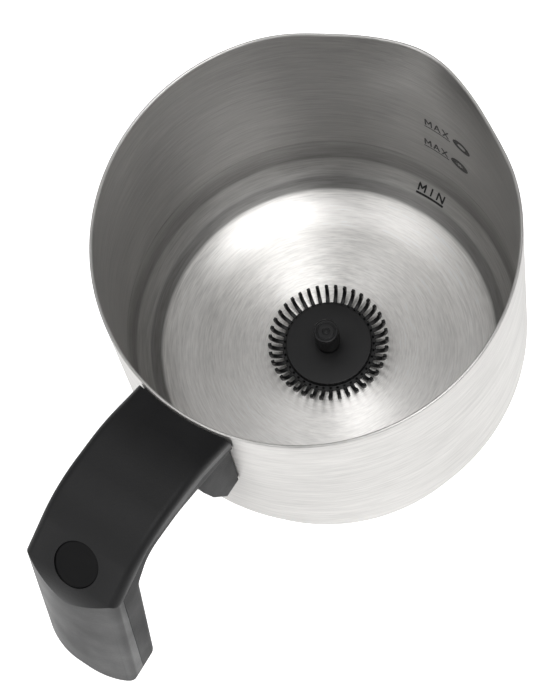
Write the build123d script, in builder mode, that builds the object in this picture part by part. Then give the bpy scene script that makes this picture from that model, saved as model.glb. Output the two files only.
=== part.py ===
from build123d import *
from math import cos, degrees, exp, pi, radians, sin, sqrt, tan
import os

# Milk frother jug with its magnetic whisk, in millimetres.
# The origin is the centre of the foot on the surface it stands on, +Z is up,
# the pouring lip points to +X and the handle to -X.

# Drawn steel jug
inner_radius = 49.6
wall = 0.8
floor_top = 3.8
inner_corner = 17.2
rim_height = 82.4
rim_slope = 4.2
outer_radius = inner_radius + wall
outer_corner = inner_corner + wall
floor_under = floor_top - wall
corner_start = floor_top + inner_corner
flat_radius = inner_radius - inner_corner

# Pouring lip: the front of the circle is pushed out, more and more towards the rim.
# The lip's band is thicker by lip_step on each side, so its lower edges stay distinct.
lip_start = 50.0
lip_top = 92.0
lip_levels = 6
lip_points = 72
lip_reach = 2.6
lip_spread = 14.0
lip_dip = 0.3
lip_dip_angle = 29.0
lip_dip_spread = 10.0
lip_step = 0.02

# Foot: a steel cap over a heat-spreading plate
cap_radius = 45.8
cap_wall = 0.6
cap_round = 1.2
cap_ring_radii = (12.0, 22.0, 32.0)
cap_ring_width = 1.2
cap_ring_depth = 0.25
plate_bottom = cap_wall + cap_ring_depth

# Pivot pin welded to the jug's floor
pin_radius = 1.0
pin_top = 13.0
pin_round = 0.7
pin_flange_radius = 2.2
pin_flange_height = 0.6

# Whisk: comb disc, knob, bush, magnets and magnet cap
whisk_bottom = 4.4
magnet_cap_height = 0.6
magnet_cap_radius = 11.2
magnet_cap_hole = 2.6
comb_bottom = whisk_bottom + magnet_cap_height
comb_top = 7.7
comb_top_radius = 10.85
comb_root_radius = 11.9
comb_skin = 1.2
comb_pocket_radius = 9.8
comb_bevel = 0.4
finger_count = 40
finger_width = 1.0
finger_thickness = 0.9
finger_reach = 15.35
finger_top = 9.7
finger_bend = 3.4
magnet_count = 4
magnet_radius = 2.2
magnet_circle = 6.9
first_magnet = 45.0
neck_radius = 2.6
head_radius = 3.2
head_bottom = 10.6
head_top = 17.2
knob_flange_radius = 4.0
bush_radius = 2.0
bush_flange_radius = 3.4
bush_flange_height = 0.6
running_gap = 0.05
bush_top = 14.2
seat_gap = 0.03
knob_bottom = comb_bottom + bush_flange_height + 2 * running_gap
head_round = 0.35
head_ring_radii = (1.0, 2.4)
head_ring_width = 0.25
head_ring_depth = 0.15

# Handle, seen from the side as (reach from the axis, height)
handle_width = 25.6
handle_edge = 2.0
handle_skin = 2.2
wall_side = 44.0
top_wall_height = 76.2
top_rise = (62.0, 84.4)
top_crest = (81.0, 85.4)
top_bend = (98.8, 72.1)
end_outer = (103.6, 19.5)
end_inner = (90.7, 22.6)
palm_bend = (85.9, 70.0)
palm_crest = (80.5, 77.5)
palm_rise = (70.0, 77.2)
palm_root = (58.0, 73.6)
palm_wall_height = 69.2
rise_round = 28.0
crest_round = 23.0
bend_round = 11.0
end_round = 2.2
palm_bend_round = 7.0
palm_crest_round = 6.0
palm_rise_round = 20.0
crown = 3.8
parting = ((44.0, 71.6), (60.0, 78.8), (80.8, 81.2), (92.4, 73.0), (97.2, 10.0))
parting_gap = 0.1
liner_start = 62.0
fit_gap = 0.05
gasket_thickness = 0.55
root_cut_radius = outer_radius + fit_gap + gasket_thickness

# Root block, bracket and the screw between them
root_width = 23.0
root_foot = (54.4, 46.4)
root_belly = (58.2, 56.0)
root_shoulder = (60.3, 65.5)
root_top = (61.6, 75.0)
root_foot_height = 47.4
root_round = 1.6
root_spigot_end = 60.6
screw_height = 65.0
bracket_width = 16.0
bracket_height = 16.0
bracket_thickness = 1.2
nut_radius = 4.4
nut_length = 3.4
bracket_reach = outer_radius + fit_gap + bracket_thickness
nut_end = bracket_reach + nut_length
web_thickness = 2.0
web_end = nut_end + fit_gap + web_thickness
m4_radius = 2.0
m4_clear = 2.25
washer_radius = 4.0
washer_thickness = 0.8
m4_head_radius = 3.9
m4_head_height = 2.3
head_pocket_radius = 4.3
m4_seat = web_end + washer_thickness
m4_drive_radius = 1.5
bracket_margin = 0.3
gasket_width = 22.4
gasket_low = 47.9
gasket_high = 77.3

# Cover plug at the bend and the two self-tapping screws, as depths below the surface
plug_centre = (92.0, 77.18)
plug_radius = 5.6
plug_thickness = 1.4
plug_depth = 1.65
plug_edge = 0.3
boss_radius = 4.4
plug_boss_radius = 7.0
head_seat = 3.2
boss_joint = 4.4
bend_boss_end = 8.8
palm_boss_end = 11.8
tap_radius = 1.45
tap_clear = 1.6
tap_head_radius = 2.7
tap_head_height = 1.5
tap_pocket_radius = 2.9
tap_length = 4.0
drive_radius = 1.1
drive_depth = 0.8
palm_screw_height = 38.0
clear_out = 20.0


def side(reach, height):
    """A point of the handle's side view, with the handle on the -X side."""
    return (-reach, height)


def lip_section(radius, reach):
    """One level section of the jug's upper wall, a circle with its front pushed out."""
    points = []
    for step in range(lip_points):
        angle = 2 * pi * step / lip_points
        off_front = abs(degrees(angle) - 360 if angle > pi else degrees(angle))
        push = exp(-((off_front / lip_spread) ** 2))
        dip = lip_dip * exp(-(((off_front - lip_dip_angle) / lip_dip_spread) ** 2))
        local_radius = radius + reach * (push - dip)
        points.append((local_radius * cos(angle), local_radius * sin(angle)))
    return points


def lip_solid(radius):
    """The upper wall filled to one radius, from where the lip starts to above the rim."""
    with BuildPart() as solid:
        for level in range(lip_levels):
            share = level / (lip_levels - 1)
            height = lip_start + share * (lip_top - lip_start)
            with BuildSketch(Plane.XY.offset(height)):
                with BuildLine():
                    Spline(*lip_section(radius, lip_reach * share**2), periodic=True)
                make_face()
        loft()
    return solid.part


def pot_form(radius, corner, bottom, top):
    """A solid pot with a rounded bottom corner, revolved about Z."""
    with BuildPart() as form:
        with BuildSketch(Plane.XZ):
            with BuildLine():
                Line((0, bottom), (radius - corner, bottom))
                CenterArc((radius - corner, bottom + corner), corner, -90, 90)
                Line((radius, bottom + corner), (radius, top))
                Line((radius, top), (0, top))
                Line((0, top), (0, bottom))
            make_face()
        revolve(axis=Axis.Z)
    return form.part


def tube(radius, bottom, top):
    """A plain upright cylinder between two heights."""
    with BuildPart() as cylinder:
        with BuildSketch(Plane.XY.offset(bottom)):
            Circle(radius)
        extrude(amount=top - bottom)
    return cylinder.part


def rod(plane, radius, start, end):
    """A cylinder along a plane's normal, between two distances from the plane."""
    with BuildPart() as cylinder:
        with BuildSketch(plane.offset(start)):
            Circle(radius)
        extrude(amount=end - start)
    return cylinder.part


def outline(points):
    """The closed side-view outline through a list of (reach, height) corners."""
    return Polyline(*[side(*point) for point in points], close=True)


def slab(points, half_width):
    """A side-view outline extruded to both sides of the handle's middle plane."""
    with BuildPart() as form:
        with BuildSketch(Plane.XZ):
            with BuildLine():
                outline(points)
            make_face()
        extrude(amount=half_width, both=True)
    return form.part


def root_side(reach):
    """Everything from the jug's axis out to a reach, as wide as the handle."""
    high = 2 * rim_height
    return slab(((0, 0), (reach, 0), (reach, high), (0, high)), handle_width)


def crown_form(inset, half_width, edge):
    """A long prism along the lower arm, whose outer side is an arc across the width."""
    drop = top_bend[1] - end_outer[1]
    lean = (end_outer[0] - top_bend[0]) / drop
    top = Plane(
        origin=(-top_bend[0] - lean * (top_bend[1] - 2 * drop), 0, 2 * drop),
        x_dir=(-1, 0, -lean),
        z_dir=(-lean, 0, -1),
    )
    half_span = handle_width / 2
    radius = (half_span**2 + crown**2) / (2 * crown) - inset
    meet = sqrt(radius**2 - half_width**2) - radius - inset
    with BuildPart() as form:
        with BuildSketch(top) as section:
            with BuildLine():
                ThreePointArc((meet, -half_width), (-inset, 0), (meet, half_width))
                Polyline(
                    (meet, half_width),
                    (-2 * top_bend[0], half_width),
                    (-2 * top_bend[0], -half_width),
                    (meet, -half_width),
                )
            make_face()
            if edge:
                for corner in ((meet, -half_width), (meet, half_width)):
                    fillet(section.vertices().sort_by_distance(corner)[0], edge)
        extrude(amount=4 * drop)
    return form.part


def handle_form(inset, half_width, edge):
    """The handle's outer form, taken in by an inset all round its side view."""
    with BuildPart() as form:
        with BuildSketch(Plane.XZ) as profile:
            with BuildLine():
                outline(
                    (
                        (wall_side, top_wall_height),
                        top_rise,
                        top_crest,
                        top_bend,
                        end_outer,
                        end_inner,
                        palm_bend,
                        palm_crest,
                        palm_rise,
                        palm_root,
                        (wall_side, palm_wall_height),
                    )
                )
            make_face()
            if inset:
                offset(amount=-inset, kind=Kind.INTERSECTION)
            for corner, radius in (
                (top_rise, rise_round - inset),
                (top_crest, crest_round - inset),
                (top_bend, bend_round - inset),
                (end_outer, end_round - inset),
                (end_inner, end_round - inset),
                (palm_bend, palm_bend_round + inset),
                (palm_crest, palm_crest_round + inset),
                (palm_rise, palm_rise_round + inset),
            ):
                if radius > 0:
                    fillet(profile.vertices().sort_by_distance(side(*corner))[0], radius)
        extrude(amount=half_width, both=True)
        if edge:
            ends = form.faces().sort_by(Axis.Y)
            fillet(ends[0].edges() + ends[-1].edges(), edge)
        add(crown_form(inset, half_width, edge), mode=Mode.INTERSECT)
    return form.part


def outer_half(shift, half_width):
    """The space outside the handle's parting line, moved towards the palm by a shift."""
    line = [(reach - shift, height - shift) for reach, height in parting]
    clear_reach = parting[-1][0] + clear_out
    clear_height = parting[0][1] + 2 * clear_out
    far = [
        (clear_reach, parting[-1][1]),
        (clear_reach, clear_height),
        (parting[0][0], clear_height),
    ]
    return slab(line + far, half_width)


handle_outer = handle_form(0, handle_width / 2, handle_edge)
handle_cavity = handle_form(handle_skin, handle_width / 2 - handle_skin, 0)
root_cut = tube(root_cut_radius, 0, 2 * rim_height)
pot_outside = pot_form(outer_radius, outer_corner, floor_under, 2 * corner_start)

# The bend screw's axis points out of the handle, square to its top surface
bend_slope = Vector(top_bend[0] - top_crest[0], top_bend[1] - top_crest[1])
bend_out = Plane(
    origin=(-plug_centre[0], 0, plug_centre[1]),
    x_dir=(0, 1, 0),
    z_dir=(bend_slope.Y, 0, bend_slope.X),
)

# The palm screw's axis points from the palm face towards the jug, square to the face
palm_lean = (end_inner[0] - palm_bend[0]) / (palm_bend[1] - end_inner[1])
palm_screw_reach = palm_bend[0] + palm_lean * (palm_bend[1] - palm_screw_height)
palm_out = Plane(
    origin=(-palm_screw_reach, 0, palm_screw_height),
    x_dir=(0, 1, 0),
    z_dir=(1, 0, -palm_lean),
)

# The bracket screw's axis points away from the jug, so distances along it are reaches
screw_out = Plane(origin=(0, 0, screw_height), x_dir=(0, 1, 0), z_dir=(-1, 0, 0))

# Jug body: drawn pot, lip and slanted rim in one sheet
rim_plane = Plane(origin=(0, 0, rim_height), z_dir=(-tan(radians(rim_slope)), 0, 1))

with BuildPart() as jug_upper:
    add(lip_solid(outer_radius + lip_step))
    add(lip_solid(inner_radius - lip_step), mode=Mode.SUBTRACT)
    split(bisect_by=rim_plane, keep=Keep.BOTTOM)

with BuildPart() as jug_body:
    add(pot_form(outer_radius, outer_corner, floor_under, lip_start))
    add(pot_form(inner_radius, inner_corner, floor_top, lip_start), mode=Mode.SUBTRACT)
    add(jug_upper.part)

# Foot: the steel cap and the heat-spreading plate bonded inside it
with BuildPart() as base_cap:
    with BuildSketch(Plane.XY):
        Circle(cap_radius)
    extrude(amount=corner_start)
    fillet(base_cap.faces().sort_by(Axis.Z)[0].edges(), cap_round)
    for ring in cap_ring_radii:
        with BuildSketch(Plane.XY):
            Circle(ring + cap_ring_width / 2)
            Circle(ring - cap_ring_width / 2, mode=Mode.SUBTRACT)
        extrude(amount=cap_ring_depth, mode=Mode.SUBTRACT)
    add(tube(cap_radius - cap_wall, plate_bottom, 2 * corner_start), mode=Mode.SUBTRACT)
    add(pot_outside, mode=Mode.SUBTRACT)

with BuildPart() as heat_plate:
    add(tube(cap_radius - cap_wall, plate_bottom, corner_start))
    add(pot_outside, mode=Mode.SUBTRACT)

# Pivot pin that the whisk turns on
with BuildPart() as pivot_pin:
    add(tube(pin_flange_radius, floor_top, floor_top + pin_flange_height))
    add(tube(pin_radius, floor_top, pin_top))
    fillet(pivot_pin.edges().sort_by(Axis.Z)[-1], pin_round)

# Whisk comb: a disc with a ring of upturned fingers
with BuildPart() as whisk_comb:
    with BuildSketch(Plane.XZ):
        with BuildLine():
            Polyline(
                (neck_radius, comb_top),
                (comb_top_radius - comb_bevel, comb_top),
                (comb_top_radius, comb_top - comb_bevel),
                (comb_top_radius, comb_bottom + finger_thickness),
                (comb_root_radius, comb_bottom + finger_thickness),
                (comb_root_radius, comb_bottom),
                (comb_pocket_radius, comb_bottom),
                (comb_pocket_radius, comb_top - comb_skin),
                (neck_radius, comb_top - comb_skin),
                close=True,
            )
        make_face()
    revolve(axis=Axis.Z)
    with BuildSketch(Plane.XZ):
        with BuildLine():
            run_out = Line(
                (comb_root_radius - finger_thickness, comb_bottom),
                (finger_reach - finger_bend, comb_bottom),
            )
            turn_up = TangentArc(
                run_out @ 1,
                (finger_reach, comb_bottom + finger_bend),
                tangent=run_out % 1,
            )
            rise = Line(turn_up @ 1, (finger_reach, finger_top - finger_thickness / 2))
            tip = ThreePointArc(
                rise @ 1,
                (finger_reach - finger_thickness / 2, finger_top),
                (finger_reach - finger_thickness, finger_top - finger_thickness / 2),
            )
            fall = Line(tip @ 1, (finger_reach - finger_thickness, comb_bottom + finger_bend))
            turn_in = TangentArc(
                fall @ 1,
                (finger_reach - finger_bend, comb_bottom + finger_thickness),
                tangent=fall % 1,
            )
            run_in = Line(
                turn_in @ 1,
                (comb_root_radius - finger_thickness, comb_bottom + finger_thickness),
            )
            Line(run_in @ 1, run_out @ 0)
        make_face()
    finger = extrude(amount=finger_width / 2, both=True, mode=Mode.PRIVATE)
    with PolarLocations(0, finger_count):
        add(finger)

# Knob: a head on a neck that passes through the comb and is held by a flange below
with BuildPart() as whisk_knob:
    add(tube(head_radius, head_bottom, head_top))
    fillet(whisk_knob.edges(), head_round)
    add(tube(neck_radius, comb_top - comb_skin, head_bottom + head_round))
    add(tube(knob_flange_radius, knob_bottom, comb_top - comb_skin))
    with BuildSketch(Plane.XY.offset(head_top)):
        for ring in head_ring_radii:
            Circle(ring + head_ring_width / 2)
            Circle(ring - head_ring_width / 2, mode=Mode.SUBTRACT)
    extrude(amount=-head_ring_depth, mode=Mode.SUBTRACT)
    with BuildSketch(Plane.XY.offset(knob_bottom)):
        Circle(bush_radius + running_gap)
    extrude(amount=bush_top + running_gap - knob_bottom, mode=Mode.SUBTRACT)

# Bush: stays on the pin while the knob turns round it
with BuildPart() as whisk_bush:
    add(tube(bush_radius, comb_bottom + running_gap, bush_top))
    add(
        tube(
            bush_flange_radius,
            comb_bottom + running_gap,
            knob_bottom - running_gap,
        )
    )
    with BuildSketch(Plane.XY.offset(comb_bottom)):
        Circle(pin_radius + running_gap)
    extrude(amount=pin_top + seat_gap - comb_bottom, mode=Mode.SUBTRACT)

# Magnets that follow the drive under the jug, and the cap that keeps them in
with BuildPart() as whisk_magnets:
    with BuildSketch(Plane.XY.offset(comb_bottom)):
        with PolarLocations(magnet_circle, magnet_count, start_angle=first_magnet):
            Circle(magnet_radius)
    extrude(amount=comb_top - comb_skin - comb_bottom)

with BuildPart() as magnet_cap:
    with BuildSketch(Plane.XY.offset(whisk_bottom)):
        Circle(magnet_cap_radius)
        Circle(magnet_cap_hole, mode=Mode.SUBTRACT)
    extrude(amount=magnet_cap_height)
    fillet(magnet_cap.edges().group_by(Axis.Z)[0], magnet_cap_height / 3)

# Handle: outer shell with the plug's recess, and the palm-side liner
with BuildPart() as handle_shell:
    add(handle_outer)
    add(outer_half(0, handle_width), mode=Mode.INTERSECT)
    add(handle_cavity, mode=Mode.SUBTRACT)
    add(rod(bend_out, plug_boss_radius, -boss_joint, -plug_depth))
    add(rod(palm_out, boss_radius, -palm_boss_end, -boss_joint - fit_gap))
    add(root_cut, mode=Mode.SUBTRACT)
    add(rod(bend_out, plug_radius + fit_gap, -plug_depth, clear_out), mode=Mode.SUBTRACT)
    add(rod(bend_out, tap_pocket_radius, -head_seat, 0), mode=Mode.SUBTRACT)
    add(rod(bend_out, tap_clear, -boss_joint, 0), mode=Mode.SUBTRACT)
    add(rod(palm_out, tap_radius, -head_seat - tap_length - fit_gap, 0), mode=Mode.SUBTRACT)

with BuildPart() as handle_liner:
    add(handle_outer)
    add(outer_half(parting_gap, handle_width), mode=Mode.SUBTRACT)
    add(handle_cavity, mode=Mode.SUBTRACT)
    add(rod(bend_out, boss_radius, -bend_boss_end, -boss_joint - fit_gap))
    add(rod(palm_out, boss_radius, -boss_joint, -handle_skin / 2))
    add(root_side(liner_start), mode=Mode.SUBTRACT)
    add(rod(bend_out, tap_radius, -head_seat - tap_length - fit_gap, 0), mode=Mode.SUBTRACT)
    add(rod(palm_out, tap_pocket_radius, -head_seat, clear_out), mode=Mode.SUBTRACT)
    add(rod(palm_out, tap_clear, -boss_joint, 0), mode=Mode.SUBTRACT)

with BuildPart() as handle_plug:
    add(rod(bend_out, plug_radius, -plug_depth, plug_thickness - plug_depth))
    top_face = handle_plug.faces().sort_by(Axis.Z)[-1]
    fillet(top_face.edges(), plug_edge)

# Root block between the handle and the jug, with its gasket
with BuildPart() as root_block:
    add(
        slab(
            (
                (wall_side, root_foot_height),
                root_foot,
                root_belly,
                root_shoulder,
                root_top,
                (root_top[0], root_top[1] + handle_skin),
                (wall_side, root_top[1]),
            ),
            root_width / 2,
        )
    )
    add(handle_outer & root_side(liner_start - fit_gap))
    add(outer_half(parting_gap, handle_width), mode=Mode.SUBTRACT)
    add(
        handle_form(handle_skin + fit_gap, handle_width / 2 - handle_skin - fit_gap, 0)
        & root_side(root_spigot_end)
    )
    add(tube(root_cut_radius, 0, 2 * rim_height), mode=Mode.SUBTRACT)
    with BuildSketch(Plane.XZ):
        with Locations((-wall_side, screw_height)):
            Rectangle(
                2 * (bracket_reach + fit_gap - wall_side),
                bracket_height + 2 * fit_gap,
            )
    extrude(amount=bracket_width / 2 + fit_gap, both=True, mode=Mode.SUBTRACT)
    add(rod(screw_out, nut_radius + fit_gap, 0, nut_end + fit_gap), mode=Mode.SUBTRACT)
    add(rod(screw_out, m4_clear, 0, web_end), mode=Mode.SUBTRACT)
    add(rod(screw_out, head_pocket_radius, web_end, web_end + clear_out), mode=Mode.SUBTRACT)


def wall_sheet(inner, thickness, width, bottom, top):
    """A sheet that follows the jug's round wall on the handle side."""
    with BuildPart() as sheet:
        with BuildSketch(Plane.XY.offset(bottom)):
            Circle(inner + thickness)
            Circle(inner, mode=Mode.SUBTRACT)
            with Locations((-inner, 0)):
                Rectangle(inner, width, mode=Mode.INTERSECT)
        extrude(amount=top - bottom)
    return sheet.part


bracket_low = screw_height - bracket_height / 2
bracket_high = screw_height + bracket_height / 2

with BuildPart() as handle_gasket:
    add(
        wall_sheet(
            outer_radius + fit_gap,
            gasket_thickness - fit_gap,
            gasket_width,
            gasket_low,
            gasket_high,
        )
    )
    with BuildSketch(Plane.YZ):
        with Locations((0, screw_height)):
            Rectangle(bracket_width + 2 * bracket_margin, bracket_height + 2 * bracket_margin)
    extrude(amount=-2 * outer_radius, mode=Mode.SUBTRACT)

# Bracket and nut spot-welded to the jug, and the screw and washer that hold the handle
with BuildPart() as handle_bracket:
    add(
        wall_sheet(
            outer_radius + fit_gap,
            bracket_thickness,
            bracket_width,
            bracket_low,
            bracket_high,
        )
    )
    add(rod(screw_out, m4_clear, 0, nut_end), mode=Mode.SUBTRACT)

with BuildPart() as bracket_nut:
    add(rod(screw_out, nut_radius, wall_side, nut_end))
    add(tube(bracket_reach, 0, 2 * rim_height), mode=Mode.SUBTRACT)
    add(rod(screw_out, m4_radius + seat_gap, 0, nut_end), mode=Mode.SUBTRACT)

with BuildPart() as bracket_washer:
    add(rod(screw_out, washer_radius, web_end, web_end + washer_thickness))
    add(rod(screw_out, m4_clear, web_end, web_end + washer_thickness), mode=Mode.SUBTRACT)

with BuildPart() as bracket_screw:
    add(rod(screw_out, m4_head_radius, m4_seat, m4_seat + m4_head_height))
    fillet(bracket_screw.edges(), m4_head_height / 4)
    add(rod(screw_out, m4_radius, bracket_reach + fit_gap, m4_seat + m4_head_height / 2))
    with BuildSketch(screw_out.offset(m4_seat + m4_head_height)):
        RegularPolygon(m4_drive_radius, 6)
    extrude(amount=-m4_head_height / 2, mode=Mode.SUBTRACT)


def tapping_screw(plane):
    """A pan-head self-tapping screw on a boss axis, its head on the counterbore's floor."""
    with BuildPart() as screw:
        add(rod(plane, tap_head_radius, -head_seat, tap_head_height - head_seat))
        fillet(screw.edges(), tap_head_height / 4)
        add(rod(plane, tap_radius, -head_seat - tap_length, -head_seat + tap_head_height / 2))
        with BuildSketch(plane.offset(tap_head_height - head_seat)):
            RegularPolygon(drive_radius, 6)
        extrude(amount=-drive_depth, mode=Mode.SUBTRACT)
    return screw.part


with BuildPart() as shell_screws:
    add(tapping_screw(bend_out))
    add(tapping_screw(palm_out))

os.makedirs("parts", exist_ok=True)
for piece, label in (
    (jug_body, "jug_body"),
    (base_cap, "base_cap"),
    (heat_plate, "heat_plate"),
    (pivot_pin, "pivot_pin"),
    (whisk_comb, "whisk_comb"),
    (whisk_knob, "whisk_knob"),
    (whisk_bush, "whisk_bush"),
    (whisk_magnets, "whisk_magnets"),
    (magnet_cap, "magnet_cap"),
    (handle_shell, "handle_shell"),
    (handle_liner, "handle_liner"),
    (handle_plug, "handle_plug"),
    (root_block, "root_block"),
    (handle_gasket, "handle_gasket"),
    (handle_bracket, "handle_bracket"),
    (bracket_nut, "bracket_nut"),
    (bracket_washer, "bracket_washer"),
    (bracket_screw, "bracket_screw"),
    (shell_screws, "shell_screws"),
):
    piece.part.label = label
    export_step(piece.part, f"parts/{label}.step")
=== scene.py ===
import math
import bpy
import numpy as np
from mathutils import Matrix, Vector


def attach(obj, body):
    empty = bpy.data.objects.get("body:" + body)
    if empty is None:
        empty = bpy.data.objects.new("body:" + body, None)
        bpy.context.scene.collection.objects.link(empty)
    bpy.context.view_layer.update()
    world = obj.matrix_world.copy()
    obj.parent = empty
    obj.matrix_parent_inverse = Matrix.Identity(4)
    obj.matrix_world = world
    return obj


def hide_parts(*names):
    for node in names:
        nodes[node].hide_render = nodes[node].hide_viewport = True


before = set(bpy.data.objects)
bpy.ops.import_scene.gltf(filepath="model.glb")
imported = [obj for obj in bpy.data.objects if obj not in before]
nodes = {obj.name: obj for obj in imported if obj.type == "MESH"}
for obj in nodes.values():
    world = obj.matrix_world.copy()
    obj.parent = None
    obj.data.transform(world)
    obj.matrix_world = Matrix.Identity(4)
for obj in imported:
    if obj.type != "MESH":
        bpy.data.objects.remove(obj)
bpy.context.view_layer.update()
MM = 0.001

# ---------------------------------------------------------------- dimensions, in millimetres
inner_radius = 49.6
wall = 0.8
outer_radius = inner_radius + wall
floor_top = 3.8
inner_corner = 17.2
corner_start = floor_top + inner_corner
flat_radius = inner_radius - inner_corner
rim_height = 82.4
rim_slope = math.tan(math.radians(4.2))
lip_start = 50.0
lip_top = 92.0
lip_reach = 2.6
lip_spread = 14.0
lip_dip = 0.3
lip_dip_angle = 29.0
lip_dip_spread = 10.0
groove_rows = ((21.6, 0), (21.8, 0.07), (22.0, 0.07), (22.2, 0), (23.0, 0))
groove_end = groove_rows[-1][0]
centre_radius = 0.6
floor_rows = 22
corner_rows = 31
outer_corner_rows = 25
wall_rows = 48
rim_rows = 11
around = 384
on_axis = 1e-6


# ---------------------------------------------------------------- mesh helpers
def new_piece(name, points, faces, body, smooth_angle, replaced=()):
    """A mesh piece given in millimetres, smooth but for edges sharper than an angle."""
    mesh = bpy.data.meshes.new(name)
    scaled = (np.asarray(points, float) * MM).tolist()
    mesh.from_pydata(scaled, [], [list(map(int, f)) for f in faces])
    mesh.validate()
    mesh.polygons.foreach_set("use_smooth", [True] * len(mesh.polygons))
    mesh.set_sharp_from_angle(angle=math.radians(smooth_angle))
    mesh.update()
    piece = bpy.data.objects.new(name, mesh)
    bpy.context.scene.collection.objects.link(piece)
    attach(piece, body)
    if replaced:
        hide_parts(*replaced)
    return piece


def ring_faces(rings, segments, closed):
    """Quads between successive rings of points, each ring having the same number of points."""
    faces = []
    pairs = rings if closed else rings - 1
    for i in range(pairs):
        a = i * segments
        b = ((i + 1) % rings) * segments
        for k in range(segments):
            n = (k + 1) % segments
            faces.append((a + k, a + n, b + n, b + k))
    return faces


def rounded(corners, radius):
    """A closed (r, z) outline with each corner off the axis rounded by a small curve."""
    steps = 4
    points = []
    count = len(corners)
    for i in range(count):
        here = np.array(corners[i], float)
        if here[0] < on_axis:
            points.append(here)
            continue
        before = np.array(corners[i - 1], float) - here
        after = np.array(corners[(i + 1) % count], float) - here
        reach = min(radius, 0.45 * np.linalg.norm(before), 0.45 * np.linalg.norm(after))
        start = here + before / np.linalg.norm(before) * reach
        end = here + after / np.linalg.norm(after) * reach
        for s in range(steps + 1):
            t = s / steps
            points.append((1 - t) ** 2 * start + 2 * t * (1 - t) * here + t**2 * end)
    return points


def lathe(name, outline, body, smooth_angle, replaced, segments):
    """A solid turned from a closed (r, z) outline; points on the axis become single points."""
    turns = np.arange(segments) * 2 * math.pi / segments
    points, rings = [], []
    for r, z in outline:
        if r < on_axis:
            rings.append([len(points)])
            points.append((0, 0, z))
        else:
            rings.append(list(range(len(points), len(points) + segments)))
            points.extend(zip(r * np.cos(turns), r * np.sin(turns), np.full(segments, z)))
    faces = []
    for i in range(len(rings)):
        a, b = rings[i], rings[(i + 1) % len(rings)]
        if len(a) == 1 and len(b) == 1:
            continue
        for k in range(segments):
            n = (k + 1) % segments
            if len(a) == 1:
                faces.append((a[0], b[n], b[k]))
            elif len(b) == 1:
                faces.append((a[k], a[n], b[0]))
            else:
                faces.append((a[k], a[n], b[n], b[k]))
    return new_piece(name, points, faces, body, smooth_angle, replaced)


# ---------------------------------------------------------------- jug
def lip_push(angle):
    """How far the lip pushes the wall out at an angle, as a share of its full reach."""
    off = np.abs(np.degrees(np.arctan2(np.sin(angle), np.cos(angle))))
    dip = lip_dip * np.exp(-(((off - lip_dip_angle) / lip_dip_spread) ** 2))
    return np.exp(-((off / lip_spread) ** 2)) - dip


def wall_radius(radius, angle, height):
    """The wall's radius at an angle and height, for the inner or outer face."""
    share = np.clip((height - lip_start) / (lip_top - lip_start), 0, None)
    return radius + lip_reach * share**2 * lip_push(angle)


def rim_at(radius, angle):
    """Radius and height where one face of the wall meets the slanted rim."""
    r = np.full_like(angle, radius)
    for _ in range(12):
        z = rim_height + rim_slope * r * np.cos(angle)
        r = wall_radius(radius, angle, z)
    return r, z


def jug_mesh():
    """The jug's wall and floor, with a rounded rim, and how many of its faces are inside."""
    angle = np.arange(around) * 2 * math.pi / around
    in_r, in_z = rim_at(inner_radius, angle)
    out_r, out_z = rim_at(outer_radius, angle)
    bead = wall / 2
    rows = []
    for r in np.linspace(centre_radius, flat_radius, floor_rows):
        rows.append((np.full(around, r), np.full(around, floor_top)))
    for t in np.radians(np.linspace(-90, 0, corner_rows)[1:]):
        r = flat_radius + inner_corner * math.cos(t)
        z = corner_start + inner_corner * math.sin(t)
        rows.append((np.full(around, r), np.full(around, z)))
    # a fine spun groove just above the corner
    for z, depth in groove_rows:
        rows.append((np.full(around, inner_radius + depth), np.full(around, z)))
    for u in np.linspace(0, 1, wall_rows)[1:]:
        z = groove_end + u * (in_z - bead - groove_end)
        rows.append((wall_radius(inner_radius, angle, z), z))
    inner_rows = len(rows) - 1
    mid_r = (in_r + out_r) / 2
    mid_z = (in_z + out_z) / 2 - bead
    for t in np.radians(np.linspace(180, 0, rim_rows)[1:-1]):
        half = (out_r - in_r) / 2
        rows.append((mid_r + half * math.cos(t), mid_z + bead * math.sin(t)))
    for u in np.linspace(1, 0, wall_rows):
        z = corner_start + u * (out_z - bead - corner_start)
        rows.append((wall_radius(outer_radius, angle, z), z))
    for t in np.radians(np.linspace(0, -90, outer_corner_rows)[1:]):
        r = flat_radius + (inner_corner + wall) * math.cos(t)
        z = corner_start + (inner_corner + wall) * math.sin(t)
        rows.append((np.full(around, r), np.full(around, z)))
    for r in (20.0, 8.0, centre_radius):
        rows.append((np.full(around, r), np.full(around, floor_top - wall)))
    points = []
    for r, z in rows:
        points.extend(zip(r * np.cos(angle), r * np.sin(angle), z))
    faces = ring_faces(len(rows), around, False)
    top = len(points)
    points.append((0, 0, floor_top))
    points.append((0, 0, floor_top - wall))
    last = (len(rows) - 1) * around
    for k in range(around):
        n = (k + 1) % around
        faces.append((top, n, k))
        faces.append((top + 1, last + k, last + n))
    return points, faces, inner_rows * around


jug_points, jug_faces, inner_faces = jug_mesh()
jug = new_piece("jug_wall", jug_points, jug_faces, "jug", 60.0, ["jug_body"])


# ---------------------------------------------------------------- level marks on the inner wall
mark_lift = 0.03
mark_depth = 0.05
stroke_step = 0.35


def on_wall(across, height):
    """A point on the inner wall: across in degrees from the lip, height in millimetres."""
    angle = math.radians(across)
    if height >= corner_start:
        r = float(wall_radius(inner_radius, np.array(angle), np.array(height)))
        normal = (-1.0, 0.0)
    else:
        drop = corner_start - height
        r = flat_radius + math.sqrt(inner_corner**2 - drop**2)
        normal = (-(r - flat_radius) / inner_corner, drop / inner_corner)
    return r, height, normal, angle


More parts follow.
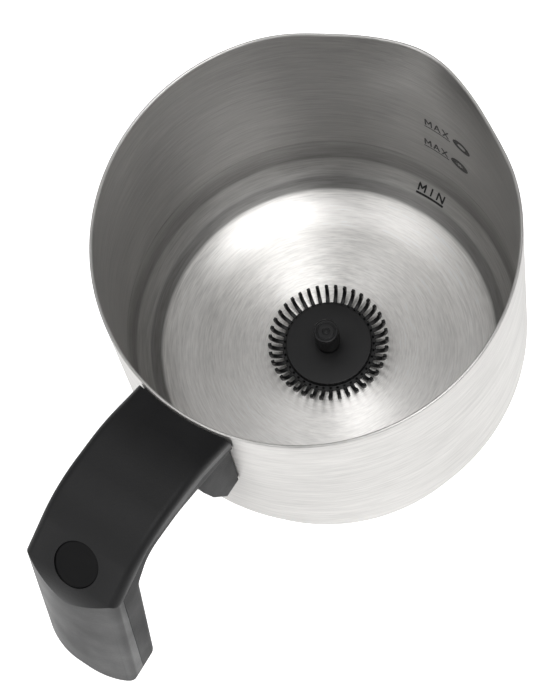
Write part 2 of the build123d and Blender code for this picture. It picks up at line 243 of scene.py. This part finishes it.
def stroke(points, faces, path, width):
    """Adds a thin raised line along a path of (across degrees, height) points."""
    fine = []
    for (a0, h0), (a1, h1) in zip(path[:-1], path[1:]):
        length = math.hypot(math.radians(a1 - a0) * inner_radius, h1 - h0)
        steps = max(2, int(length / stroke_step))
        fine += [(a0 + (a1 - a0) * s / steps, h0 + (h1 - h0) * s / steps) for s in range(steps)]
    fine.append(path[-1])
    degree = math.degrees(1 / inner_radius)
    rows = []
    for i, (a, h) in enumerate(fine):
        a_before, h_before = fine[max(i - 1, 0)]
        a_after, h_after = fine[min(i + 1, len(fine) - 1)]
        da, dh = (a_after - a_before) / degree, h_after - h_before
        size = math.hypot(da, dh)
        side_a, side_h = -dh / size * degree, da / size
        row = []
        for lift in (mark_lift, mark_lift - mark_depth):
            for s in (-0.5, 0.5):
                r, z, n, angle = on_wall(a + side_a * s * width, h + side_h * s * width)
                r, z = r + n[0] * lift, z + n[1] * lift
                row.append((r * math.cos(angle), r * math.sin(angle), z))
        rows.append((row[0], row[1], row[3], row[2]))
    base = len(points)
    for row in rows:
        points.extend(row)
    for i in range(len(rows) - 1):
        for k in range(4):
            n = (k + 1) % 4
            a, b = base + 4 * i, base + 4 * (i + 1)
            faces.append((a + k, a + n, b + n, b + k))
    faces.append((base + 3, base + 2, base + 1, base))
    end = base + 4 * (len(rows) - 1)
    faces.append((end, end + 1, end + 2, end + 3))


letters = {
    "M": [[(0, 0), (0, 1), (0.5, 0.35), (1, 1), (1, 0)]],
    "A": [[(0, 0), (0.5, 1), (1, 0)], [(0.2, 0.35), (0.8, 0.35)]],
    "X": [[(0, 0), (1, 1)], [(0, 1), (1, 0)]],
    "I": [[(0.5, 0), (0.5, 1)]],
    "N": [[(0, 0), (0, 1), (1, 0), (1, 1)]],
}


def level_mark(name, word, start, end, line_height, low, high, line_width, symbol):
    """A level line with its word above it, and a small symbol beside it."""
    points, faces = [], []
    stroke(points, faces, [(start, line_height), (end, line_height)], line_width)
    pitch = (end - start) / len(word)
    for i, letter in enumerate(word):
        left = start + pitch * (i + 0.14)
        wide = pitch * 0.66
        for path in letters[letter]:
            placed = [(left + wide * x, low + (high - low) * y) for x, y in path]
            stroke(points, faces, placed, line_width)
    if symbol:
        centre_a, centre_h, half_a, half_h, ticks = symbol
        turns = [2 * math.pi * k / 32 for k in range(33)]
        for grow in (1.0, 0.8, 0.6):
            ring = [
                (centre_a + half_a * grow * math.cos(t), centre_h + half_h * grow * math.sin(t))
                for t in turns
            ]
            stroke(points, faces, ring, line_width * 1.15)
        for k in range(ticks):
            t = 2 * math.pi * k / ticks
            inner = (centre_a + half_a * 0.3 * math.cos(t), centre_h + half_h * 0.3 * math.sin(t))
            outer = (centre_a + half_a * 0.95 * math.cos(t), centre_h + half_h * 0.95 * math.sin(t))
            stroke(points, faces, [inner, outer], line_width * 0.8)
    return new_piece(name, points, faces, "jug", 30.0)


marks = [
    level_mark("mark_max_heat", "MAX", 1.8, -7.1, 47.6, 48.5, 52.0, 0.42, (-11.6, 50.0, 3.1, 2.1, 0)),
    level_mark("mark_max_froth", "MAX", 2.6, -6.1, 35.0, 35.9, 39.4, 0.42, (-10.2, 37.0, 3.0, 2.1, 8)),
    level_mark("mark_min", "MIN", 4.6, -5.7, 10.4, 10.95, 13.1, 0.5, None),
]


# ---------------------------------------------------------------- whisk
fingers = 40
finger_bottom = 5.0
finger_top = 9.7
finger_start = 11.0
finger_reach = 15.35
finger_thick = 0.9
finger_width = 1.0
finger_bend = 3.4
finger_corner = 0.2
finger_taper = 0.86
comb_bore = 2.6
comb_ring_inner = 9.8
comb_ring_outer = 11.9
comb_disc_radius = 10.85
comb_disc_under = 6.5
comb_disc_top = 7.7
comb_ring_top = 5.9
comb_round = 0.22
comb_segments = 160
knob_radius = 3.2
knob_bore = 2.05
knob_foot_radius = 4.0
knob_foot = 5.7
knob_bore_top = 14.25
knob_neck = 10.6
knob_top = 17.2
knob_round = 0.16
knob_segments = 96


def finger_mesh():
    """One upturned finger with rounded corners, narrower at its tip."""
    mid = finger_thick / 2
    path = [(finger_start, finger_bottom + mid)]
    centre = (finger_reach - finger_bend, finger_bottom + finger_bend)
    inner_run = centre[0] - finger_start
    path += [(finger_start + inner_run * s / 3, finger_bottom + mid) for s in (1, 2, 3)]
    for t in np.radians(np.linspace(-90, 0, 9)[1:]):
        turn_radius = finger_bend - mid
        path.append((centre[0] + turn_radius * math.cos(t), centre[1] + turn_radius * math.sin(t)))
    straight = finger_top - mid
    path += [(finger_reach - mid, centre[1] + (straight - centre[1]) * s / 3) for s in (1, 2, 3)]
    path = np.array(path)
    tangent = np.gradient(path, axis=0)
    tangent /= np.linalg.norm(tangent, axis=1)[:, None]
    section = []
    for cx, cy, a0 in ((1, 1, 0), (-1, 1, 90), (-1, -1, 180), (1, -1, 270)):
        for t in np.radians((a0, a0 + 30, a0 + 60, a0 + 90)):
            x = cx * (mid - finger_corner) + finger_corner * math.cos(t)
            y = cy * (finger_width / 2 - finger_corner) + finger_corner * math.sin(t)
            section.append((x, y))
    section = np.array(section)
    rows = []
    taper = np.linspace(1.0, finger_taper, len(path))
    for p, d, narrow in zip(path, tangent, taper):
        n = np.array((d[1], -d[0]))
        rows.append([(p[0] + n[0] * x, y * narrow, p[1] + n[1] * x) for x, y in section])
    for s, rise in ((0.9, 0.44), (0.66, 0.75), (0.3, 0.95)):
        z = path[-1][1] + mid * rise
        rows.append([(path[-1][0] + x * s, y * s * taper[-1], z) for x, y in section])
    count = len(section)
    shape = np.array([p for row in rows for p in row])
    faces = [tuple(reversed(f)) for f in ring_faces(len(rows), count, False)]
    faces.append(tuple(range(count)))
    faces.append(tuple(reversed(range(len(shape) - count, len(shape)))))
    return shape, faces


comb_outline = rounded(
    [
        (comb_bore, comb_disc_top),
        (comb_disc_radius, comb_disc_top),
        (comb_disc_radius, comb_ring_top),
        (comb_ring_outer, comb_ring_top),
        (comb_ring_outer, finger_bottom),
        (comb_ring_inner, finger_bottom),
        (comb_ring_inner, comb_disc_under),
        (comb_bore, comb_disc_under),
    ],
    comb_round,
)
finger_points, finger_faces = finger_mesh()
turns = np.arange(comb_segments) * 2 * math.pi / comb_segments
points = []
for r, z in comb_outline:
    points.extend(zip(r * np.cos(turns), r * np.sin(turns), np.full(comb_segments, z)))
faces = ring_faces(len(comb_outline), comb_segments, True)
for k in range(fingers):
    t = 2 * math.pi * k / fingers
    turn = np.array(((math.cos(t), math.sin(t), 0), (-math.sin(t), math.cos(t), 0), (0, 0, 1)))
    base = len(points)
    points.extend(finger_points @ turn)
    faces.extend(tuple(base + i for i in f) for f in finger_faces)
comb = new_piece("whisk_comb_fine", points, faces, "whisk", 40.0, ["whisk_comb"])

knob_outline = rounded(
    [
        (0, knob_bore_top),
        (0, 17.15),
        (0.45, 17.15),
        (0.6, 17.02),
        (0.85, 17.02),
        (0.95, knob_top),
        (2.05, knob_top),
        (2.15, 17.04),
        (2.4, 17.04),
        (2.5, knob_top),
        (2.95, knob_top),
        (knob_radius, 17.0),
        (knob_radius, knob_neck),
        (comb_bore, knob_neck),
        (comb_bore, comb_disc_under),
        (knob_foot_radius, comb_disc_under),
        (knob_foot_radius, knob_foot),
        (knob_bore, knob_foot),
        (knob_bore, knob_bore_top),
    ],
    knob_round,
)
knob = lathe(
    "whisk_knob_fine", knob_outline, "whisk", 50.0, ["whisk_knob"], knob_segments
)


# ---------------------------------------------------------------- materials
class Shader:
    """A Principled material with short helpers for adding nodes."""

    def __init__(self, name, colour, metallic, roughness):
        self.material = bpy.data.materials.new(name)
        self.material.use_nodes = True
        self.tree = self.material.node_tree
        self.bsdf = self.tree.nodes["Principled BSDF"]
        self.bsdf.inputs["Base Color"].default_value = (*colour, 1)
        self.bsdf.inputs["Metallic"].default_value = metallic
        self.bsdf.inputs["Roughness"].default_value = roughness
        self.object = self.node("ShaderNodeTexCoord").outputs["Object"]

    def node(self, kind, **settings):
        made = self.tree.nodes.new(kind)
        for key, value in settings.items():
            setattr(made, key, value)
        return made

    def link(self, source, target):
        self.tree.links.new(source, target)

    def noise(self, scale, detail=3.0, rough=0.55, vector=None, w=None):
        made = self.node("ShaderNodeTexNoise", noise_dimensions="4D" if w is not None else "3D")
        self.link(vector or self.object, made.inputs["Vector"])
        if w is not None:
            self.link(w, made.inputs["W"])
        made.inputs["Scale"].default_value = scale
        made.inputs["Detail"].default_value = detail
        made.inputs["Roughness"].default_value = rough
        return made.outputs["Fac"]

    def ramp(self, source, low, high, low_value, high_value):
        made = self.node("ShaderNodeMapRange")
        self.link(source, made.inputs["Value"])
        for key, value in (
            ("From Min", low),
            ("From Max", high),
            ("To Min", low_value),
            ("To Max", high_value),
        ):
            made.inputs[key].default_value = value
        return made.outputs["Result"]

    def math(self, operation, a, b=None):
        made = self.node("ShaderNodeMath", operation=operation)
        for i, value in enumerate((a, b)):
            if value is None:
                continue
            if isinstance(value, (int, float)):
                made.inputs[i].default_value = value
            else:
                self.link(value, made.inputs[i])
        return made.outputs[0]

    def tint(self, factor, low, high):
        """Base colour between two colours."""
        made = self.node("ShaderNodeMix", data_type="RGBA")
        self.link(factor, made.inputs["Factor"])
        made.inputs["A"].default_value = (*low, 1)
        made.inputs["B"].default_value = (*high, 1)
        self.link(made.outputs["Result"], self.bsdf.inputs["Base Color"])

    def bump(self, height, distance, strength=1.0):
        made = self.node("ShaderNodeBump")
        made.inputs["Strength"].default_value = strength
        made.inputs["Distance"].default_value = distance
        self.link(height, made.inputs["Height"])
        if self.bsdf.inputs["Normal"].links:
            self.link(self.bsdf.inputs["Normal"].links[0].from_socket, made.inputs["Normal"])
        self.link(made.outputs["Normal"], self.bsdf.inputs["Normal"])

    def rough(self, source):
        self.link(source, self.bsdf.inputs["Roughness"])


def brushed_steel(name, colour, low_rough, high_rough, anisotropy, line_bump, painted_light_bands=()):
    """Steel brushed round the Z axis, with uneven lines, faint stains and fine scratches.

    Bands are (height in mm, brightness) steps of painted light and painted shade in the base colour,
    from the bottom up.
    """
    s = Shader(name, colour, 1.0, low_rough)
    split = s.node("ShaderNodeSeparateXYZ")
    s.link(s.object, split.inputs[0])
    x, y, z = split.outputs
    radius = s.math("SQRT", s.math("ADD", s.math("MULTIPLY", x, x), s.math("MULTIPLY", y, y)))
    safe = s.math("MAXIMUM", radius, 0.0005)
    round_x = s.math("DIVIDE", x, safe)
    round_y = s.math("DIVIDE", y, safe)

    def lines(spacing, spread, detail):
        """Noise in lines round the axis: spacing apart, in metres, and long by spread."""
        join = s.node("ShaderNodeCombineXYZ")
        s.link(s.math("MULTIPLY", round_x, spread), join.inputs[0])
        s.link(s.math("MULTIPLY", round_y, spread), join.inputs[1])
        s.link(s.math("DIVIDE", z, spacing), join.inputs[2])
        return s.noise(1.0, detail, 0.6, join.outputs[0], s.math("DIVIDE", radius, spacing))

    fine = lines(0.00038, 7.0, 2.0)
    broad = lines(0.0016, 3.0, 4.0)
    cloud = s.noise(38.0, 4.0, 0.6)
    mixed = s.math("ADD", s.math("MULTIPLY", fine, 0.5), s.math("MULTIPLY", broad, 0.3))
    mixed = s.math("ADD", mixed, s.math("MULTIPLY", cloud, 0.2))
    rough = s.ramp(mixed, 0.35, 0.65, low_rough, high_rough)
    tone = s.ramp(mixed, 0.38, 0.62, 0.78, 1.12)
    # painted light and painted shade: the base colour is stepped brighter or darker by height
    if painted_light_bands:
        span = painted_light_bands[-1][0]
        height = s.math("DIVIDE", z, span * MM)
        steps = s.node("ShaderNodeFloatCurve")
        curve = steps.mapping.curves[0]
        while len(curve.points) < len(painted_light_bands):
            curve.points.new(0.5, 0.5)
        for point, (level, brightness) in zip(curve.points, painted_light_bands):
            point.location = (level / span, 0.5 + brightness / 4)
            point.handle_type = "VECTOR"
        steps.mapping.update()
        s.link(height, steps.inputs["Value"])
        change = s.math("MULTIPLY", s.math("SUBTRACT", steps.outputs["Value"], 0.5), 4.0)
        tone = s.math("MULTIPLY", tone, change)
    s.rough(rough)
    scaled = s.node("ShaderNodeVectorMath", operation="SCALE")
    scaled.inputs[0].default_value = colour
    s.link(tone, scaled.inputs["Scale"])
    s.link(scaled.outputs["Vector"], s.bsdf.inputs["Base Color"])
    s.bump(fine, 0.00002, line_bump)
    s.bump(broad, 0.00004, line_bump)
    s.bsdf.inputs["Anisotropic"].default_value = anisotropy
    s.bsdf.inputs["Anisotropic Rotation"].default_value = 0.25
    tangent = s.node("ShaderNodeTangent", direction_type="RADIAL", axis="Z")
    s.link(tangent.outputs["Tangent"], s.bsdf.inputs["Tangent"])
    return s.material


def moulded(name, colour, roughness, grain, grain_depth, specular=0.3, mottle=0.5):
    """Spark-textured moulded plastic: fine grain, slow mottling and edges rubbed smoother."""
    s = Shader(name, colour, 0.0, roughness)
    fine = s.noise(1.0 / grain, 2.0, 0.5)
    pits = s.node("ShaderNodeTexVoronoi", feature="F1")
    s.link(s.object, pits.inputs["Vector"])
    pits.inputs["Scale"].default_value = 0.6 / grain
    slow = s.noise(70.0, 4.0, 0.6)
    edge = s.node("ShaderNodeNewGeometry").outputs["Pointiness"]
    worn = s.ramp(edge, 0.52, 0.62, 0.0, 0.12)
    spread = s.ramp(slow, 0.3, 0.7, roughness - 0.06, roughness + 0.08)
    s.rough(s.math("SUBTRACT", spread, worn))
    s.tint(s.ramp(slow, 0.3, 0.7, 0.0, mottle), colour, [c * 1.7 + 0.004 for c in colour])
    height = s.math("ADD", fine, s.math("MULTIPLY", pits.outputs["Distance"], 0.6))
    s.bump(height, grain_depth, 0.8)
    s.bsdf.inputs["Specular IOR Level"].default_value = specular
    return s.material


def worn_metal(name, colour, roughness, scale):
    """Plated or cast metal with slow stains and fine tooling."""
    s = Shader(name, colour, 1.0, roughness)
    slow = s.noise(scale, 5.0, 0.6)
    tooling = s.noise(scale * 18, 2.0, 0.5)
    s.rough(s.ramp(slow, 0.3, 0.7, roughness - 0.06, roughness + 0.12))
    s.tint(s.ramp(slow, 0.35, 0.7, 0.0, 1.0), [c * 0.82 for c in colour], colour)
    s.bump(tooling, 0.00001, 0.5)
    return s.material


def rubber(name, colour):
    s = Shader(name, colour, 0.0, 0.75)
    dust = s.noise(160.0, 5.0, 0.65)
    s.rough(s.ramp(dust, 0.3, 0.7, 0.62, 0.88))
    s.tint(s.ramp(dust, 0.45, 0.75, 0.0, 1.0), colour, [c * 2.2 for c in colour])
    s.bump(s.noise(3500.0, 2.0), 0.00002, 0.7)
    return s.material


def dress(piece, material):
    """Gives a piece or CAD node one material in every slot."""
    if not piece.material_slots:
        piece.data.materials.append(material)
    for slot in piece.material_slots:
        slot.material = material


steel = (0.62, 0.61, 0.595)
# the inside: painted light brightening the floor, two bands of painted shade in the corner, faint
# painted shade at the spun groove, then the plain wall
inside_painted_light = (
    (0.0, 2.2),
    (6.9, 2.2),
    (7.3, 0.72),
    (9.3, 0.72),
    (9.8, 1.15),
    (13.8, 1.15),
    (14.6, 0.72),
    (17.8, 0.8),
    (21.0, 0.95),
    (21.9, 0.85),
    (22.6, 1.0),
    (100.0, 1.0),
)
# painted shade: the inside steel is a darker copy of the same steel as the outside
inside_shade = 0.68
painted_shade_steel = [c * inside_shade for c in steel]
dress(jug, brushed_steel("steel_jug_outside", steel, 0.38, 0.5, 0.85, 0.5))
inside = brushed_steel("steel_jug_inside", painted_shade_steel, 0.38, 0.5, 0.85, 0.5, inside_painted_light)
jug.data.materials.append(inside)
face_count = len(jug.data.polygons)
centre_face = face_count - 2 * around
face_material = [
    int(i < inner_faces or (i >= centre_face and (i - centre_face) % 2 == 0))
    for i in range(face_count)
]
jug.data.polygons.foreach_set("material_index", face_material)
dress(nodes["base_cap"], brushed_steel("steel_cap", steel, 0.26, 0.38, 0.7, 0.5))
print_ink = moulded("mark_ink", (0.012, 0.012, 0.013), 0.55, 0.0002, 0.00001, mottle=0.3)
for mark in marks:
    dress(mark, print_ink)
black = (0.007, 0.007, 0.0075)
dress(nodes["handle_shell"], moulded("plastic_shell", black, 0.54, 0.00032, 0.00003))
dress(nodes["handle_liner"], moulded("plastic_liner", black, 0.56, 0.00032, 0.00003, 0.14))
dress(nodes["root_block"], moulded("plastic_root", black, 0.55, 0.00032, 0.00003, 0.08))
dress(nodes["handle_plug"], moulded("plastic_plug", (0.003, 0.003, 0.0033), 0.5, 0.0002, 0.00001, 0.12))
dress(comb, moulded("plastic_comb", (0.009, 0.009, 0.0095), 0.42, 0.00018, 0.000008))
dress(knob, moulded("plastic_knob", (0.009, 0.009, 0.0095), 0.36, 0.00018, 0.000006))
dress(nodes["magnet_cap"], moulded("plastic_cap", (0.009, 0.009, 0.0095), 0.45, 0.0002, 0.00001))
dress(nodes["whisk_bush"], moulded("plastic_bush", (0.6, 0.58, 0.53), 0.4, 0.0002, 0.000005))
dress(nodes["handle_gasket"], rubber("rubber_gasket", (0.012, 0.012, 0.012)))
dress(nodes["pivot_pin"], brushed_steel("steel_pin", steel, 0.15, 0.25, 0.4, 0.3))
dress(nodes["heat_plate"], worn_metal("aluminium_plate", (0.78, 0.78, 0.79), 0.4, 60.0))
dress(nodes["whisk_magnets"], worn_metal("nickel_magnets", (0.66, 0.63, 0.58), 0.2, 300.0))
dress(nodes["handle_bracket"], worn_metal("steel_bracket", steel, 0.32, 120.0))
dress(nodes["bracket_nut"], worn_metal("zinc_nut", (0.66, 0.66, 0.64), 0.28, 260.0))
dress(nodes["bracket_washer"], worn_metal("zinc_washer", (0.64, 0.64, 0.62), 0.3, 240.0))
dress(nodes["bracket_screw"], worn_metal("zinc_screw", (0.62, 0.62, 0.6), 0.27, 280.0))
dress(nodes["shell_screws"], worn_metal("zinc_tapping", (0.6, 0.6, 0.59), 0.28, 300.0))

# ---------------------------------------------------------------- floor, lights and world
floor_mesh = bpy.data.meshes.new("studio_floor")
half = 3.0
floor_level = -0.0002
floor_mesh.from_pydata(
    [
        (-half, -half, floor_level),
        (half, -half, floor_level),
        (half, half, floor_level),
        (-half, half, floor_level),
    ],
    [],
    [(0, 1, 2, 3)],
)
floor = bpy.data.objects.new("studio_floor", floor_mesh)
bpy.context.scene.collection.objects.link(floor)
paper = Shader("studio_paper", (0.93, 0.93, 0.93), 0.0, 0.9)
paper.tint(paper.noise(3.0, 2.0), (0.92, 0.92, 0.92), (0.94, 0.94, 0.94))
paper.bsdf.inputs["Emission Color"].default_value = (1, 1, 1, 1)
paper.bsdf.inputs["Emission Strength"].default_value = 0.85
dress(floor, paper.material)

middle = Vector((0, 0, 0.04))


def softbox(name, azimuth, elevation, distance, size, power):
    """A rectangular studio light pointed at the jug, by its direction and distance from it."""
    light = bpy.data.lights.new(name, "AREA")
    light.shape = "RECTANGLE"
    light.size, light.size_y = size
    light.energy = power
    lamp = bpy.data.objects.new(name, light)
    bpy.context.scene.collection.objects.link(lamp)
    a, e = math.radians(azimuth), math.radians(elevation)
    away = Vector((math.cos(a) * math.cos(e), math.sin(a) * math.cos(e), math.sin(e)))
    lamp.location = middle + away * distance
    lamp.rotation_euler = (-away).to_track_quat("-Z", "Y").to_euler()


softbox("light_over", 55, 65, 1.5, (1.9, 1.2), 4.2)
softbox("light_key", -108, 73, 1.5, (0.6, 0.6), 8.5)
softbox("light_back", 150, 68, 1.5, (0.5, 0.6), 2.6)
softbox("light_left", 170, 28, 1.4, (0.6, 1.0), 3.5)
softbox("light_right", -60, 28, 1.4, (0.5, 1.0), 1.0)


world = bpy.data.worlds.new("studio_world")
bpy.context.scene.world = world
world.use_nodes = True
background = world.node_tree.nodes["Background"]
background.inputs["Color"].default_value = (1, 1, 1, 1)
background.inputs["Strength"].default_value = 0.16
bpy.context.scene.view_settings.view_transform = "Standard"

# ---------------------------------------------------------------- camera
view_azimuth = -131.0
view_elevation = 69.884
view_roll = -15.358
view_distance = 690.85
view_across = 5.92
view_down = 26.43
focal_ratio = 3000.0 / 700.0
sensor = 36.0

a, e, roll = (math.radians(v) for v in (view_azimuth, view_elevation, view_roll))
away = Vector((math.cos(a) * math.cos(e), math.sin(a) * math.cos(e), math.sin(e)))
right = Vector((-math.sin(a), math.cos(a), 0))
up = away.cross(right)
turned_right = right * math.cos(roll) + up * math.sin(roll)
turned_up = up * math.cos(roll) - right * math.sin(roll)
camera_data = bpy.data.cameras.new("camera")
camera_data.lens = focal_ratio * sensor
camera_data.sensor_width = sensor
camera = bpy.data.objects.new("camera", camera_data)
bpy.context.scene.collection.objects.link(camera)
place = (
    Vector((0, 0, rim_height))
    + away * view_distance
    - turned_right * view_across
    - turned_up * view_down
) * MM
camera.matrix_world = Matrix.Translation(place) @ Matrix(
    (
        (turned_right.x, turned_up.x, away.x),
        (turned_right.y, turned_up.y, away.y),
        (turned_right.z, turned_up.z, away.z),
    )
).to_4x4()
bpy.context.scene.camera = camera
